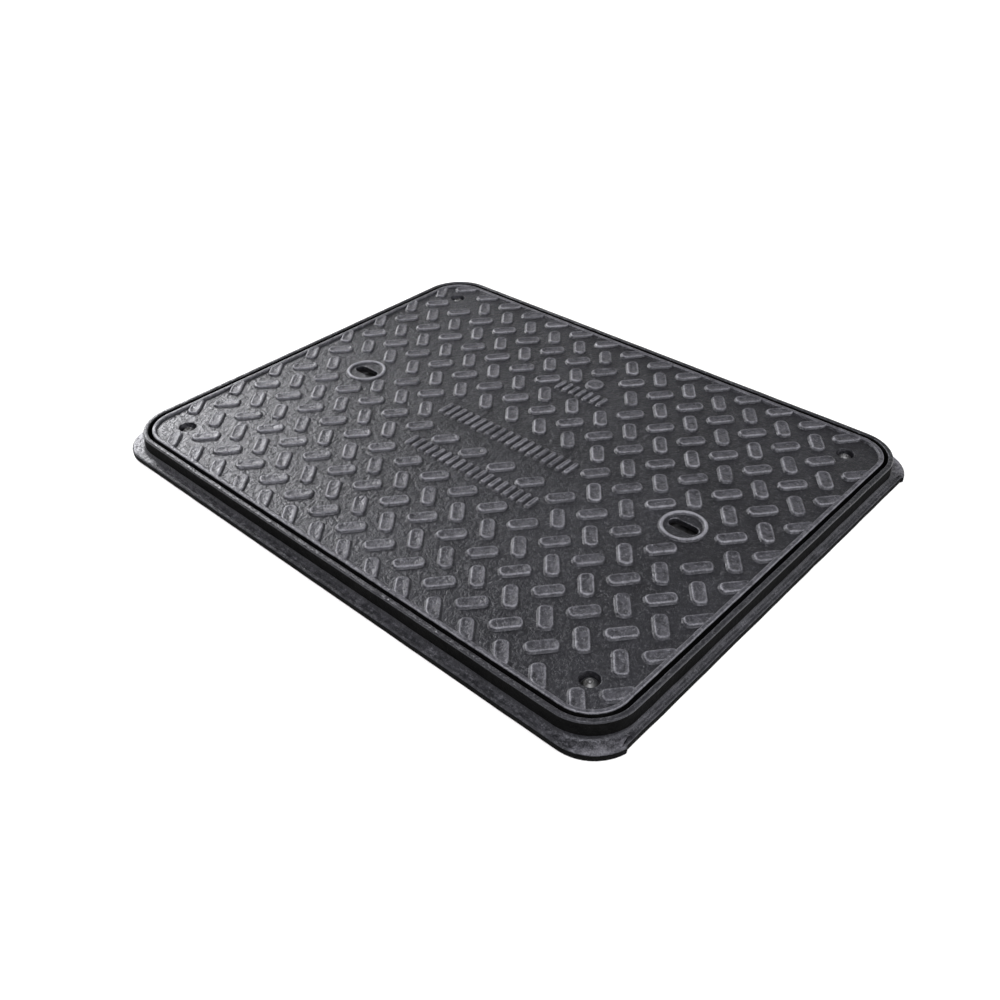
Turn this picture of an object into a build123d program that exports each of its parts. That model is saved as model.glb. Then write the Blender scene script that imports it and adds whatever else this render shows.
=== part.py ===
from build123d import *
import math
import os

# Rectangular access cover, locked down in its own frame. Millimetres, +Z up, +X along the long side.
# The origin is at the centre of the frame's base, in the plane it beds on.

# Cover outline
cover_length = 640.0
cover_width = 500.0
cover_corner_radius = 38.0
cover_gap = 4.0

# Cover section, from the walked-on face down
plate_thickness = 6.0
skirt_depth = 6.5
skirt_width = 16.0
rib_thickness = 5.0
rib_depth = 10.0
rib_end_clearance = 4.0
cross_rib_count = 7
long_rib_offset = 70.0

# Frame section
frame_depth = 26.0
rim_width = 5.5
seat_bearing_ends = 20.0
seat_bearing_sides = 25.0
opening_corner_radius = 12.0
flange_thickness = 7.0
flange_width_ends = 7.5
flange_width_sides = 10.5
flange_foot_radius = 4.0
flange_edge_radius = 1.5
rim_edge_radius = 0.8
ear_projection = 3.0
ear_reach = 36.0
ear_corner_radius = 44.0

# Tread: rows of slanted pads whose slant alternates from row to row
tread_height = 2.5
pad_length = 29.0
pad_width = 13.0
pad_corner_radius = 5.0
pad_slant = 50.0
pad_pitch = 40.0
pad_row_pitch = 28.0
pad_row_stagger = 10.0
pad_margin = 3.5
border_width = 4.5

# Blank ribbed panels in the tread: centre x, centre y, length, width
panels = [(-4.0, 3.0, 192.0, 22.0), (9.0, -67.0, 184.0, 18.0), (0.0, 126.0, 70.0, 17.0)]
panel_bar_width = 5.0
panel_bar_end_radius = 2.4
panel_bar_pitch = 10.0
panel_margin = 9.0
blank_disc_centre = (0.0, 151.0)
blank_disc_radius = 10.0

# Lifting keyways
keyway_from_end = 94.0
keyway_length = 32.0
keyway_width = 13.0
keyway_ring_radius = 23.0
keyway_ring_width = 3.5

# Keyway cups and their screws
cup_radius = 22.0
cup_wall = 2.0
cup_floor = 1.5
cup_depth = 10.0
cup_ear_thickness = 1.5
cup_ear_width = 13.0
cup_screw_from_wall = 6.0
cup_screw_radius = 2.0
cup_screw_hole_clearance = 0.25
cup_screw_reach = 4.0
cup_screw_head_radius = 3.8
cup_screw_head_height = 2.6

# Locking screws, one in each corner, with their washers and captive nuts
lock_screw_radius = 4.0
lock_tip_chamfer = 1.0
lock_head_radius = 7.0
lock_head_flat_radius = 3.5
lock_head_height = 4.4
lock_dome_radius = 5.4
lock_socket_width = 5.0
lock_socket_depth = 2.8
lock_washer_radius = 8.0
lock_washer_thickness = 1.6
lock_washer_clearance = 0.2
lock_hole_clearance = 0.5
lock_recess_clearance = 1.0
lock_recess_floor = 2.5
lock_boss_wall = 4.0
lock_boss_gap = 0.5
lock_tip_height = 0.6
lock_nut_width = 13.0
lock_nut_height = 4.0
lock_nut_cover = 1.0
lock_nut_clearance = 0.15
thread_clearance = 0.05
lug_wall = 10.5
lug_block = 42.0

# Seat gasket and its groove
gasket_width = 10.0
gasket_height = 4.0
gasket_inset = 9.0
groove_depth = 2.0
groove_clearance = 0.3

# Levels, from the base up
plate_top = frame_depth - tread_height
plate_bottom = plate_top - plate_thickness
skirt_bottom = plate_bottom - skirt_depth
rib_bottom = plate_bottom - rib_depth
seat_height = skirt_bottom - (gasket_height - groove_depth)
groove_floor = seat_height - groove_depth
recess_floor = plate_bottom - lock_recess_floor
boss_bottom = skirt_bottom + lock_boss_gap
nut_top = lock_nut_cover + lock_nut_height
head_seat = recess_floor + lock_washer_thickness

# Outlines that follow from the cover's
seat_length = cover_length + 2 * cover_gap
seat_width = cover_width + 2 * cover_gap
seat_radius = cover_corner_radius + cover_gap
rim_length = seat_length + 2 * rim_width
rim_breadth = seat_width + 2 * rim_width
rim_radius = seat_radius + rim_width
flange_length = rim_length + 2 * (flange_width_ends + ear_projection)
flange_breadth = rim_breadth + 2 * flange_width_sides
clear_length = cover_length - 2 * seat_bearing_ends
clear_width = cover_width - 2 * seat_bearing_sides
tread_length = cover_length - 2 * border_width
tread_width = cover_width - 2 * border_width
tread_radius = cover_corner_radius - border_width

# Places of the repeated pieces: a locking screw stands at the centre of each corner's round
corners = {
    "front_left": (-1, -1),
    "front_right": (1, -1),
    "back_right": (1, 1),
    "back_left": (-1, 1),
}
lock_x = cover_length / 2 - cover_corner_radius
lock_y = cover_width / 2 - cover_corner_radius
lock_points = {name: (sx * lock_x, sy * lock_y) for name, (sx, sy) in corners.items()}
keyway_x = cover_length / 2 - keyway_from_end
keyway_points = {"left": (-keyway_x, 0.0), "right": (keyway_x, 0.0)}
cup_screw_offset = cup_radius + cup_screw_from_wall
lug_centre_offset = lug_block / 2 - lug_wall
recess_radius = lock_washer_radius + lock_recess_clearance
boss_radius = recess_radius + lock_boss_wall
shank_hole_radius = lock_screw_radius + lock_hole_clearance


def upright(x, y):
    """Plane through a vertical axis at x, y, with its own Y along +Z, for turned profiles."""
    return Plane(origin=(x, y, 0), x_dir=(1, 0, 0), z_dir=(0, -1, 0))


def inside_tread(x, y):
    """True where a pad's centre lies inside the border's inner outline."""
    over_x = abs(x) - (tread_length / 2 - tread_radius)
    over_y = abs(y) - (tread_width / 2 - tread_radius)
    if over_x > 0 and over_y > 0:
        return math.hypot(over_x, over_y) < tread_radius
    return over_x < tread_radius and over_y < tread_radius


def clear_of_panels(x, y):
    """True where a pad's centre leaves the blank panels and the blank disc their margin."""
    for centre_x, centre_y, length, width in panels:
        beside = abs(x - centre_x) - length / 2 > panel_margin
        beyond = abs(y - centre_y) - width / 2 > panel_margin
        if not (beside or beyond):
            return False
    disc_x, disc_y = blank_disc_centre
    return math.hypot(x - disc_x, y - disc_y) > blank_disc_radius + panel_margin


def pad_places():
    """Place and slant of every tread pad."""
    places = []
    rows = math.ceil(tread_width / 2 / pad_row_pitch)
    columns = math.ceil(tread_length / 2 / pad_pitch)
    for row in range(-rows, rows):
        y = (row + 0.5) * pad_row_pitch
        side = 1 if row % 2 else -1
        for column in range(-columns, columns + 1):
            x = column * pad_pitch + side * pad_row_stagger
            if inside_tread(x, y) and clear_of_panels(x, y):
                places.append(Location((x, y), -side * pad_slant))
    return places


def cross_rib_places():
    """X of each rib across the cover: an even set between the keyways, and one outside each."""
    beside_keyway = cup_radius + cup_screw_from_wall + rib_thickness
    inner_x = keyway_x - beside_keyway
    step = 2 * inner_x / (cross_rib_count - 1)
    inner = [-inner_x + step * index for index in range(cross_rib_count)]
    return [-keyway_x - beside_keyway] + inner + [keyway_x + beside_keyway]


def rib_points(span, clear_span):
    """Corners of a rib's outline: full depth inside the clear opening, shallower over the seat."""
    deep = clear_span / 2 - rib_end_clearance - skirt_depth
    shallow = clear_span / 2 - rib_end_clearance
    end = span / 2 - skirt_width / 2
    over_seat = skirt_bottom + lock_boss_gap
    return [
        (-end, plate_bottom),
        (-end, over_seat),
        (-shallow, over_seat),
        (-deep, rib_bottom),
        (deep, rib_bottom),
        (shallow, over_seat),
        (end, over_seat),
        (end, plate_bottom),
    ]


def flange_top(casting):
    """The flange's upper face."""
    return casting.faces().filter_by(Axis.Z).group_by(Axis.Z)[1][0]


# Frame: a seat ledge, an upstand round it and a bedding flange whose ends are set back between the ears
with BuildPart() as frame_casting:
    with BuildSketch():
        RectangleRounded(flange_length, flange_breadth, ear_corner_radius)
        with Locations((flange_length / 2, 0), (-flange_length / 2, 0)):
            Rectangle(2 * ear_projection, flange_breadth - 2 * ear_reach, mode=Mode.SUBTRACT)
    extrude(amount=flange_thickness)
    with BuildSketch():
        RectangleRounded(rim_length, rim_breadth, rim_radius)
    extrude(amount=frame_depth)
    fillet(flange_top(frame_casting).inner_wires()[0].edges(), flange_foot_radius)
    fillet(flange_top(frame_casting).outer_wire().edges(), flange_edge_radius)
    with BuildSketch(Plane.XY.offset(seat_height)):
        RectangleRounded(seat_length, seat_width, seat_radius)
    extrude(amount=frame_depth, mode=Mode.SUBTRACT)
    with BuildSketch() as opening:
        RectangleRounded(clear_length, clear_width, opening_corner_radius)
        for sx, sy in corners.values():
            with Locations((sx * (lock_x + lug_centre_offset), sy * (lock_y + lug_centre_offset))):
                RectangleRounded(lug_block, lug_block, lug_wall, mode=Mode.SUBTRACT)
    extrude(amount=seat_height, mode=Mode.SUBTRACT)
    with BuildSketch(Plane.XY.offset(seat_height)):
        with Locations(*lock_points.values()):
            Circle(lug_wall)
    extrude(amount=skirt_bottom - seat_height)
    with BuildSketch(Plane.XY.offset(groove_floor)):
        offset_out = gasket_inset - gasket_width / 2 - groove_clearance
        offset_in = gasket_inset + gasket_width / 2 + groove_clearance
        RectangleRounded(cover_length - 2 * offset_out, cover_width - 2 * offset_out,
                         cover_corner_radius - offset_out)
        RectangleRounded(cover_length - 2 * offset_in, cover_width - 2 * offset_in,
                         cover_corner_radius - offset_in, mode=Mode.SUBTRACT)
    extrude(amount=groove_depth, mode=Mode.SUBTRACT)
    with BuildSketch():
        with Locations(*lock_points.values()):
            Circle(shank_hole_radius)
    extrude(amount=skirt_bottom, mode=Mode.SUBTRACT)
    with BuildSketch():
        with Locations(*lock_points.values()):
            RegularPolygon(lock_nut_width / 2 + lock_nut_clearance, 6, major_radius=False)
    extrude(amount=nut_top, mode=Mode.SUBTRACT)
    fillet(frame_casting.faces().sort_by(Axis.Z)[-1].edges(), rim_edge_radius)
frame_casting.part.label = "frame_casting"

# Cover: a treaded plate on a skirt, ribbed below, bossed where the locking screws pass
with BuildPart() as cover_casting:
    with BuildSketch(Plane.XY.offset(skirt_bottom)):
        RectangleRounded(cover_length, cover_width, cover_corner_radius)
    extrude(amount=plate_top - skirt_bottom)
    with BuildSketch(Plane.XY.offset(skirt_bottom)):
        RectangleRounded(cover_length - 2 * skirt_width, cover_width - 2 * skirt_width,
                         cover_corner_radius - skirt_width)
    extrude(amount=skirt_depth, mode=Mode.SUBTRACT)
    for rib_x in cross_rib_places():
        with BuildSketch(Plane(origin=(rib_x - rib_thickness / 2, 0, 0), x_dir=(0, 1, 0), z_dir=(1, 0, 0))):
            with BuildLine():
                Polyline(*rib_points(cover_width, clear_width), close=True)
            make_face()
        extrude(amount=rib_thickness)
    for rib_y in (-long_rib_offset, long_rib_offset):
        with BuildSketch(Plane(origin=(0, rib_y + rib_thickness / 2, 0), x_dir=(1, 0, 0), z_dir=(0, -1, 0))):
            with BuildLine():
                Polyline(*rib_points(cover_length, clear_length), close=True)
            make_face()
        extrude(amount=rib_thickness)
    with BuildSketch(Plane.XY.offset(boss_bottom)):
        with Locations(*lock_points.values()):
            Circle(boss_radius)
    extrude(amount=plate_bottom - boss_bottom)
    with BuildSketch(Plane.XY.offset(plate_bottom)):
        with Locations(*keyway_points.values()):
            SlotOverall(keyway_length, keyway_width)
    extrude(amount=plate_thickness, mode=Mode.SUBTRACT)
    with BuildSketch(Plane.XY.offset(recess_floor)):
        with Locations(*lock_points.values()):
            Circle(recess_radius)
    extrude(amount=frame_depth, mode=Mode.SUBTRACT)
    with BuildSketch(Plane.XY.offset(boss_bottom)):
        with Locations(*lock_points.values()):
            Circle(shank_hole_radius)
    extrude(amount=frame_depth, mode=Mode.SUBTRACT)
    with BuildSketch(Plane.XY.offset(plate_bottom)):
        with Locations(*keyway_points.values()):
            with GridLocations(1, 2 * cup_screw_offset, 1, 2):
                Circle(cup_screw_radius + thread_clearance)
    extrude(amount=cup_screw_reach + cup_screw_hole_clearance, mode=Mode.SUBTRACT)
    with BuildSketch(Plane.XY.offset(plate_top)) as tread:
        with Locations(*pad_places()):
            RectangleRounded(pad_length, pad_width, pad_corner_radius)
        RectangleRounded(tread_length, tread_width, tread_radius, mode=Mode.INTERSECT)
        with Locations(*keyway_points.values()):
            Circle(keyway_ring_radius + pad_margin, mode=Mode.SUBTRACT)
        with Locations(*lock_points.values()):
            Circle(recess_radius + pad_margin, mode=Mode.SUBTRACT)
    with BuildSketch(Plane.XY.offset(plate_top)) as border:
        RectangleRounded(cover_length, cover_width, cover_corner_radius)
        RectangleRounded(tread_length, tread_width, tread_radius, mode=Mode.SUBTRACT)
        for centre_x, centre_y, length, width in panels:
            bar_count = int(length // panel_bar_pitch)
            with Locations((centre_x, centre_y)):
                with GridLocations(panel_bar_pitch, width, bar_count, 1):
                    RectangleRounded(panel_bar_width, width, panel_bar_end_radius)
        with Locations(blank_disc_centre):
            Circle(blank_disc_radius)
        with Locations(*keyway_points.values()):
            Circle(keyway_ring_radius)
            Circle(keyway_ring_radius - keyway_ring_width, mode=Mode.SUBTRACT)
    extrude(tread.sketch.faces() + border.sketch.faces(), amount=tread_height)
cover_casting.part.label = "cover_casting"

# Seat gasket: one closed rubber loop in the frame's groove
with BuildPart() as seat_gasket:
    with BuildSketch(Plane.XY.offset(groove_floor)):
        gasket_out = gasket_inset - gasket_width / 2
        gasket_in = gasket_inset + gasket_width / 2
        RectangleRounded(cover_length - 2 * gasket_out, cover_width - 2 * gasket_out,
                         cover_corner_radius - gasket_out)
        RectangleRounded(cover_length - 2 * gasket_in, cover_width - 2 * gasket_in,
                         cover_corner_radius - gasket_in, mode=Mode.SUBTRACT)
    extrude(amount=gasket_height)
seat_gasket.part.label = "seat_gasket"


def make_keyway_cup(x, y):
    """Round cup with two screw ears, which closes the keyway from below."""
    with BuildPart() as cup:
        with BuildSketch(Plane.XY.offset(plate_bottom - cup_depth)):
            with Locations((x, y)):
                Circle(cup_radius)
        extrude(amount=cup_depth)
        with BuildSketch(Plane.XY.offset(plate_bottom - cup_ear_thickness)):
            with Locations((x, y)):
                SlotOverall(2 * cup_screw_offset + cup_ear_width, cup_ear_width, rotation=90)
        extrude(amount=cup_ear_thickness)
        with BuildSketch(Plane.XY.offset(plate_bottom - cup_depth + cup_floor)):
            with Locations((x, y)):
                Circle(cup_radius - cup_wall)
        extrude(amount=cup_depth, mode=Mode.SUBTRACT)
        with BuildSketch(Plane.XY.offset(plate_bottom - cup_ear_thickness)):
            with Locations((x, y)):
                with GridLocations(1, 2 * cup_screw_offset, 1, 2):
                    Circle(cup_screw_radius + cup_screw_hole_clearance)
        extrude(amount=cup_ear_thickness, mode=Mode.SUBTRACT)
    return cup.part


def make_lock_screw(x, y):
    """Button-head screw that passes through the cover's boss into the frame's captive nut."""
    head_top = head_seat + lock_head_height
    with BuildPart() as screw:
        with BuildSketch(upright(x, y)):
            with BuildLine():
                Polyline(
                    (lock_head_flat_radius, head_top),
                    (0, head_top),
                    (0, lock_tip_height),
                    (lock_screw_radius - lock_tip_chamfer, lock_tip_height),
                    (lock_screw_radius, lock_tip_height + lock_tip_chamfer),
                    (lock_screw_radius, head_seat),
                    (lock_head_radius, head_seat),
                )
                RadiusArc((lock_head_radius, head_seat), (lock_head_flat_radius, head_top), -lock_dome_radius)
            make_face()
        revolve(axis=Axis((x, y, 0), (0, 0, 1)))
        with BuildSketch(Plane.XY.offset(head_top - lock_socket_depth)):
            with Locations((x, y)):
                RegularPolygon(lock_socket_width / 2, 6, major_radius=False)
        extrude(amount=lock_socket_depth, mode=Mode.SUBTRACT)
    return screw.part


def make_lock_washer(x, y):
    """Flat sealing washer under a locking screw's head."""
    with BuildPart() as washer:
        with BuildSketch(Plane.XY.offset(recess_floor)):
            with Locations((x, y)):
                Circle(lock_washer_radius)
                Circle(lock_screw_radius + lock_washer_clearance, mode=Mode.SUBTRACT)
        extrude(amount=lock_washer_thickness)
    return washer.part


def make_lock_nut(x, y):
    """Thin hexagon nut held in the pocket under a frame lug."""
    with BuildPart() as nut:
        with BuildSketch(Plane.XY.offset(lock_nut_cover)):
            with Locations((x, y)):
                RegularPolygon(lock_nut_width / 2, 6, major_radius=False)
                Circle(lock_screw_radius + thread_clearance, mode=Mode.SUBTRACT)
        extrude(amount=lock_nut_height)
    return nut.part


# Four pan-head screws hold the two cups up against the plate
with BuildPart() as keyway_cup_screws:
    for keyway_place_x, keyway_place_y in keyway_points.values():
        for side in (-1, 1):
            screw_x = keyway_place_x
            screw_y = keyway_place_y + side * cup_screw_offset
            under_ear = plate_bottom - cup_ear_thickness
            with BuildSketch(Plane.XY.offset(under_ear - cup_screw_head_height)):
                with Locations((screw_x, screw_y)):
                    Circle(cup_screw_head_radius)
            extrude(amount=cup_screw_head_height)
            with BuildSketch(Plane.XY.offset(under_ear)):
                with Locations((screw_x, screw_y)):
                    Circle(cup_screw_radius)
            extrude(amount=cup_ear_thickness + cup_screw_reach)
keyway_cup_screws.part.label = "keyway_cup_screws"

pieces = [frame_casting.part, cover_casting.part, seat_gasket.part, keyway_cup_screws.part]
for side_name, (cup_x, cup_y) in keyway_points.items():
    keyway_cup = make_keyway_cup(cup_x, cup_y)
    keyway_cup.label = f"keyway_cup_{side_name}"
    pieces.append(keyway_cup)
for corner_name, (corner_x, corner_y) in lock_points.items():
    for kind, make in (("screw", make_lock_screw), ("washer", make_lock_washer), ("nut", make_lock_nut)):
        lock_piece = make(corner_x, corner_y)
        lock_piece.label = f"lock_{kind}_{corner_name}"
        pieces.append(lock_piece)

os.makedirs("parts", exist_ok=True)
for piece in pieces:
    export_step(piece, f"parts/{piece.label}.step")
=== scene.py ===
"""Looks of a locked rectangular access cover lying in its own frame.

Each sub-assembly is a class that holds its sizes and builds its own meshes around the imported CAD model.
All sizes are in metres unless a name says otherwise, +Z is up and the frame's base is at zero.
"""

import logging
import math
from collections.abc import Iterable, Sequence
from dataclasses import dataclass, field
from enum import Enum, IntEnum
from functools import cache

import bmesh
import bpy
from mathutils import Matrix, Vector, noise
from mathutils.geometry import tessellate_polygon


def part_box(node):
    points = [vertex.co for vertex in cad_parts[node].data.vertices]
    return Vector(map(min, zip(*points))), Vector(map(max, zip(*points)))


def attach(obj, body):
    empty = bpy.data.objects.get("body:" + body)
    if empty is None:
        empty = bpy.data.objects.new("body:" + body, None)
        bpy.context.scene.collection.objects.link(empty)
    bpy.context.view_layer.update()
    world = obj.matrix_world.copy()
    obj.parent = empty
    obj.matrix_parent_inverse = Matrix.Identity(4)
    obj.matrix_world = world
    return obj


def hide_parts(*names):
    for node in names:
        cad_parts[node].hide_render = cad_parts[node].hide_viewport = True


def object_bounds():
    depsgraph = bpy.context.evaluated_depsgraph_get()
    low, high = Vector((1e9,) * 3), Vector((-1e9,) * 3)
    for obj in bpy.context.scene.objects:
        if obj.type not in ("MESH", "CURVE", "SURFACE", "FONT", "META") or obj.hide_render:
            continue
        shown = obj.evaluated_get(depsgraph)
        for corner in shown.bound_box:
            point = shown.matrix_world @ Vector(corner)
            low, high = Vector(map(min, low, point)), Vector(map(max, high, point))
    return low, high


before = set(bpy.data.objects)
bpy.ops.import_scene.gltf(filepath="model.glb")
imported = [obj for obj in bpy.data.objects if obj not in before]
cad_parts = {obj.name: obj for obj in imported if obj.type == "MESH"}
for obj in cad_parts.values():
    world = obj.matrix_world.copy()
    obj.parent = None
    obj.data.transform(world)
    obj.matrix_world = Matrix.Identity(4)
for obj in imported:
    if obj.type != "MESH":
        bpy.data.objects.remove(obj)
CAD_LOW, CAD_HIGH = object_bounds()

LOG = logging.getLogger("access_cover")
MM = 0.001
SHORTEST_STEP = 1e-9
SIDES = ("left", "right")
SMALL_CORNER = (0.0, 1 / 3, 2 / 3, 1.0)

Point2 = tuple[float, float]


def mm(value: float) -> float:
    """Millimetres as metres."""
    return value * MM


# --------------------------------------------------------------------------------------------------
# Outlines
# --------------------------------------------------------------------------------------------------


@dataclass(frozen=True)
class Rounded:
    """A rounded rectangle about the origin, walked anticlockwise with the same point count at any size.

    Args:
        half_x: Half its length along X.
        half_y: Half its width along Y.
        radius: Its corners' radius.
        arc_shares: Where along each corner's quarter turn the points stand, from 0 to 1.
        long_count: Points between two corners along X.
        short_count: Points between two corners along Y.
    """

    half_x: float
    half_y: float
    radius: float
    arc_shares: tuple[float, ...] = tuple(i / 14 for i in range(15))
    long_count: int = 56
    short_count: int = 44

    def grown(self, distance: float) -> "Rounded":
        """The same outline, moved outwards by a distance."""
        return Rounded(self.half_x + distance, self.half_y + distance, self.radius + distance,
                       self.arc_shares, self.long_count, self.short_count)

    def corner(self, quadrant: int, share: float) -> Point2:
        """A point on a corner's arc.

        Args:
            quadrant: 0 for the corner at +X +Y, and on anticlockwise.
            share: 0 at the arc's start and 1 at its end.

        Returns:
            The point's X and Y.
        """
        sign_x = 1 if quadrant in (0, 3) else -1
        sign_y = 1 if quadrant in (0, 1) else -1
        turn = (quadrant + share) * math.pi / 2
        return (sign_x * (self.half_x - self.radius) + self.radius * math.cos(turn),
                sign_y * (self.half_y - self.radius) + self.radius * math.sin(turn))

    def points(self) -> list[Point2]:
        """All points, from the first corner's start."""
        walk: list[Point2] = []
        for quadrant in range(4):
            walk += [self.corner(quadrant, share) for share in self.arc_shares]
            start = walk[-1]
            stop = self.corner((quadrant + 1) % 4, self.arc_shares[0])
            count = self.long_count if quadrant % 2 == 0 else self.short_count
            for step in range(1, count + 1):
                share = step / (count + 1)
                walk.append(tuple(a + (b - a) * share for a, b in zip(start, stop)))
        return walk


def circle(centre: Point2, radius: float, count: int) -> list[Point2]:
    """Points round a circle, anticlockwise from its +X side."""
    return [(centre[0] + radius * math.cos(math.tau * i / count),
             centre[1] + radius * math.sin(math.tau * i / count)) for i in range(count)]


def hexagon(centre: Point2, across_flats: float, count: int) -> list[Point2]:
    """Points round a hexagon with a flat facing +X, at the same angles as a circle's."""
    walk = []
    for i in range(count):
        turn = math.tau * i / count
        from_flat = (turn + math.pi / 6) % (math.pi / 3) - math.pi / 6
        reach = across_flats / 2 / math.cos(from_flat)
        walk.append((centre[0] + reach * math.cos(turn), centre[1] + reach * math.sin(turn)))
    return walk


def slotted(centre: Point2, length: float, width: float, count: int) -> list[Point2]:
    """Points round a straight slot with round ends, along X, anticlockwise from the start of its +X end.

    Args:
        centre: Its middle.
        length: Its whole length.
        width: Its width.
        count: How many points, an even number.

    Returns:
        The outline: two thirds of its points are on the round ends.
    """
    radius = width / 2
    straight = length / 2 - radius
    half = count // 2
    turns = half * 2 // 3
    walk = []
    for end in (1, -1):
        for step in range(turns + 1):
            turn = math.pi * (step / turns - 0.5)
            walk.append((centre[0] + end * (straight + radius * math.cos(turn)),
                         centre[1] + end * radius * math.sin(turn)))
        for step in range(turns + 1, half):
            share = (step - turns) / (half - turns)
            walk.append((centre[0] + end * straight * (1 - 2 * share), centre[1] + end * radius))
    return walk


def crossed(centre: Point2, reach: float, arm: float) -> list[Point2]:
    """The twelve corners of a plus sign, anticlockwise.

    Args:
        centre: Its middle.
        reach: How far its arms reach.
        arm: How wide each arm is.

    Returns:
        The outline.
    """
    half = arm / 2
    walk = []
    for quarter in range(4):
        turn = Matrix.Rotation(quarter * math.pi / 2, 2)
        for corner in ((reach, -half), (reach, half), (half, half)):
            x, y = turn @ Vector(corner)
            walk.append((centre[0] + x, centre[1] + y))
    return walk


def placed(outline: Iterable[Point2], centre: Point2, turn: float = 0.0) -> list[Point2]:
    """An outline about the origin, turned and then moved to a centre."""
    cosine, sine = math.cos(turn), math.sin(turn)
    return [(centre[0] + x * cosine - y * sine, centre[1] + x * sine + y * cosine) for x, y in outline]


def held_inside(point: Point2, bounds: Rounded) -> Point2:
    """The point itself, or the nearest one on a rounded rectangle if it lies outside that."""
    core_x = bounds.half_x - bounds.radius
    core_y = bounds.half_y - bounds.radius
    near = (max(-core_x, min(core_x, point[0])), max(-core_y, min(core_y, point[1])))
    away = math.dist(point, near)
    if away <= bounds.radius:
        return point
    share = bounds.radius / away
    return (near[0] + (point[0] - near[0]) * share, near[1] + (point[1] - near[1]) * share)


def inward(outline: Sequence[Point2], distance: float) -> list[Point2]:
    """An anticlockwise outline with each point moved in along its own normal, or out if negative."""
    count = len(outline)
    moved = []
    for i, (x, y) in enumerate(outline):
        before, after = outline[i - 1], outline[(i + 1) % count]
        along = Vector((after[0] - before[0], after[1] - before[1]))
        if along.length < SHORTEST_STEP:
            moved.append((x, y))
            continue
        along.normalize()
        moved.append((x - along.y * distance, y + along.x * distance))
    return moved


# --------------------------------------------------------------------------------------------------
# Meshes
# --------------------------------------------------------------------------------------------------


class Coat(IntEnum):
    """Which of a casting's two coats a face takes: the weathered coat, and a darker, duller copy of it that
    paints shade on walls, sides and seat faces.
    """

    WEATHERED = 0
    SHADE_COPY = 1


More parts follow.
